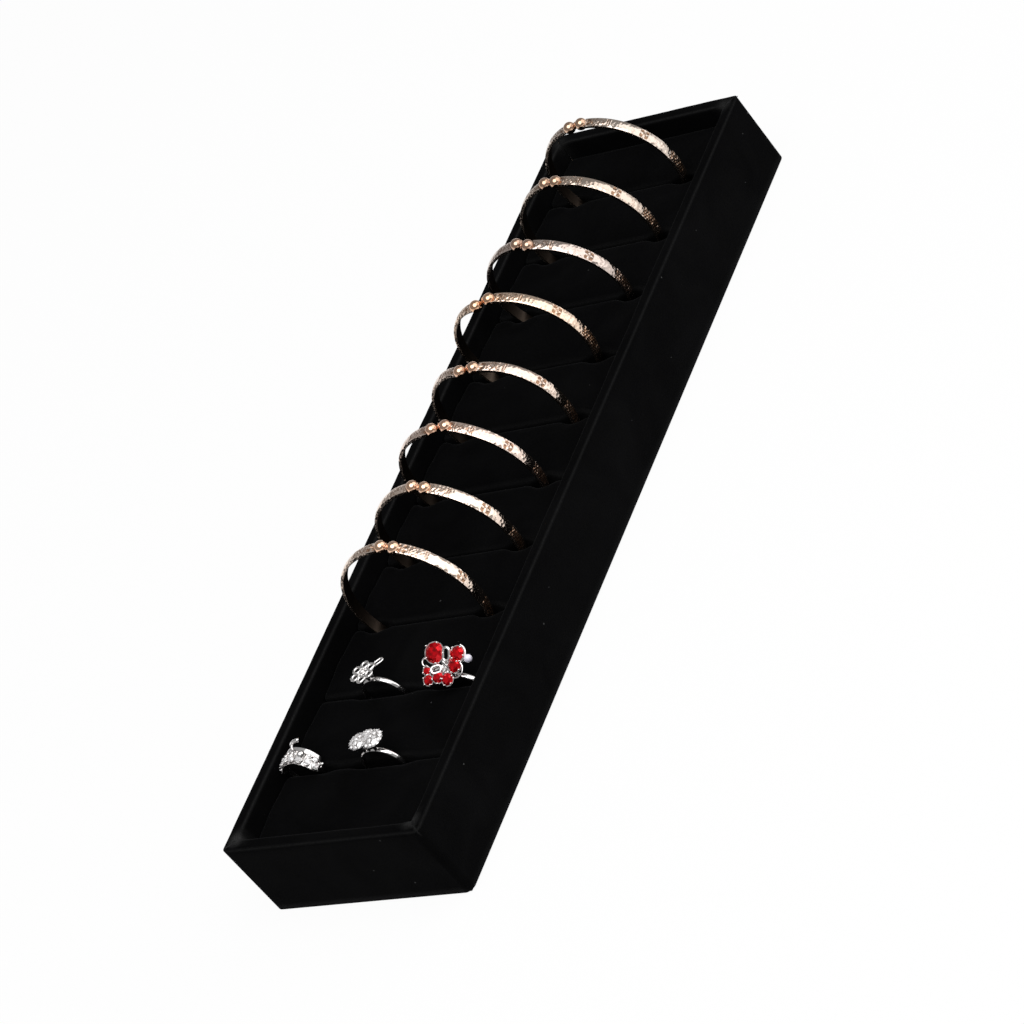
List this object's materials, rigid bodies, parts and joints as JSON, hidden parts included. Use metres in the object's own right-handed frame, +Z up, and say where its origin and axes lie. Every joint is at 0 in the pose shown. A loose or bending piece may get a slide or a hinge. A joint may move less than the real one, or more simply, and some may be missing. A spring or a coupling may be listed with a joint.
{
  "type": "jewelry tray",
  "caption": "Long velvet-covered display tray with padded slots that hold open bangles and finger rings upright.",
  "frame": {"origin": "middle of the underside, on the surface the tray stands on", "axes": "+Y along the tray towards the bangle end, +X to the right, +Z up"},
  "size_m": [0.091, 0.352, 0.0669],
  "materials": {
    "velvet": "black velvet with a short dense pile",
    "board": "bare fibreboard under the velvet",
    "foam": "dense dark foam under the pad covers",
    "backing_paper": "matt black backing paper",
    "rose_gold": "polished rose-gold plating, bright-cut",
    "silver": "polished white-metal plating",
    "clear_crystal": "clear cut crystal",
    "red_glass": "clear red cut glass",
    "lilac_glass": "clear bead with a lilac sheen"
  },
  "bodies": {
    "tray": {"base_board": "board", "near_end_board": "board", "far_end_board": "board", "left_side_board": "board", "right_side_board": "board", "near_wall_velvet": "velvet", "far_wall_velvet": "velvet", "left_wall_velvet": "velvet", "right_wall_velvet": "velvet", "floor_lining": "velvet", "bottom_sheet": "backing_paper", "far_pad_foam": "foam", "far_pad_velvet": "velvet", "bangle_pad_1_foam": "foam", "bangle_pad_1_velvet": "velvet", "bangle_pad_2_foam": "foam", "bangle_pad_2_velvet": "velvet", "bangle_pad_3_foam": "foam", "bangle_pad_3_velvet": "velvet", "bangle_pad_4_foam": "foam", "bangle_pad_4_velvet": "velvet", "bangle_pad_5_foam": "foam", "bangle_pad_5_velvet": "velvet", "bangle_pad_6_foam": "foam", "bangle_pad_6_velvet": "velvet", "bangle_pad_7_foam": "foam", "bangle_pad_7_velvet": "velvet", "ring_pad_1_foam": "foam", "ring_pad_1_velvet": "velvet", "ring_pad_2_foam": "foam", "ring_pad_2_velvet": "velvet", "ring_pad_3_foam": "foam", "ring_pad_3_velvet": "velvet"},
    "bangle_1": {"bangle_1_band": "rose_gold", "bangle_1_beads": "rose_gold"},
    "bangle_2": {"bangle_2_band": "rose_gold", "bangle_2_beads": "rose_gold"},
    "bangle_3": {"bangle_3_band": "rose_gold", "bangle_3_beads": "rose_gold"},
    "bangle_4": {"bangle_4_band": "rose_gold", "bangle_4_beads": "rose_gold"},
    "bangle_5": {"bangle_5_band": "rose_gold", "bangle_5_beads": "rose_gold"},
    "bangle_6": {"bangle_6_band": "rose_gold", "bangle_6_beads": "rose_gold"},
    "bangle_7": {"bangle_7_band": "rose_gold", "bangle_7_beads": "rose_gold"},
    "bangle_8": {"bangle_8_band": "rose_gold", "bangle_8_beads": "rose_gold"},
    "crystal_ring": {"crystal_ring_band": "silver", "crystal_ring_stones": "clear_crystal"},
    "domed_ring": {"domed_ring_band": "silver", "domed_ring_stones": "clear_crystal"},
    "filigree_ring": {"filigree_ring_band": "silver", "filigree_ring_flower": "silver"},
    "red_flower_ring": {"red_flower_ring_band": "silver", "red_flower_ring_setting": "silver", "red_flower_ring_stones": "red_glass", "red_flower_ring_bead": "lilac_glass"}
  },
  "joints": [
    {"name": "bangle_1_lift", "type": "slide", "parent": "tray", "child": "bangle_1", "axis": [0, 0, 1], "range_m": [0, 0.05]},
    {"name": "bangle_2_lift", "type": "slide", "parent": "tray", "child": "bangle_2", "axis": [0, 0, 1], "range_m": [0, 0.05]},
    {"name": "bangle_3_lift", "type": "slide", "parent": "tray", "child": "bangle_3", "axis": [0, -0.0872, 0.9962], "range_m": [0, 0.05]},
    {"name": "bangle_4_lift", "type": "slide", "parent": "tray", "child": "bangle_4", "axis": [0, 0, 1], "range_m": [0, 0.05]},
    {"name": "bangle_5_lift", "type": "slide", "parent": "tray", "child": "bangle_5", "axis": [0, 0.0436, 0.999], "range_m": [0, 0.05]},
    {"name": "bangle_6_lift", "type": "slide", "parent": "tray", "child": "bangle_6", "axis": [0, -0.0436, 0.999], "range_m": [0, 0.05]},
    {"name": "bangle_7_lift", "type": "slide", "parent": "tray", "child": "bangle_7", "axis": [0, -0.0175, 0.9998], "range_m": [0, 0.05]},
    {"name": "bangle_8_lift", "type": "slide", "parent": "tray", "child": "bangle_8", "axis": [0, 0.0175, 0.9998], "range_m": [0, 0.05]},
    {"name": "crystal_ring_lift", "type": "slide", "parent": "tray", "child": "crystal_ring", "axis": [0, 0, 1], "range_m": [0, 0.03]},
    {"name": "domed_ring_lift", "type": "slide", "parent": "tray", "child": "domed_ring", "axis": [0, 0, 1], "range_m": [0, 0.03]},
    {"name": "filigree_ring_lift", "type": "slide", "parent": "tray", "child": "filigree_ring", "axis": [0, 0, 1], "range_m": [0, 0.03]},
    {"name": "red_flower_ring_lift", "type": "slide", "parent": "tray", "child": "red_flower_ring", "axis": [0, 0, 1], "range_m": [0, 0.03]}
  ]
}
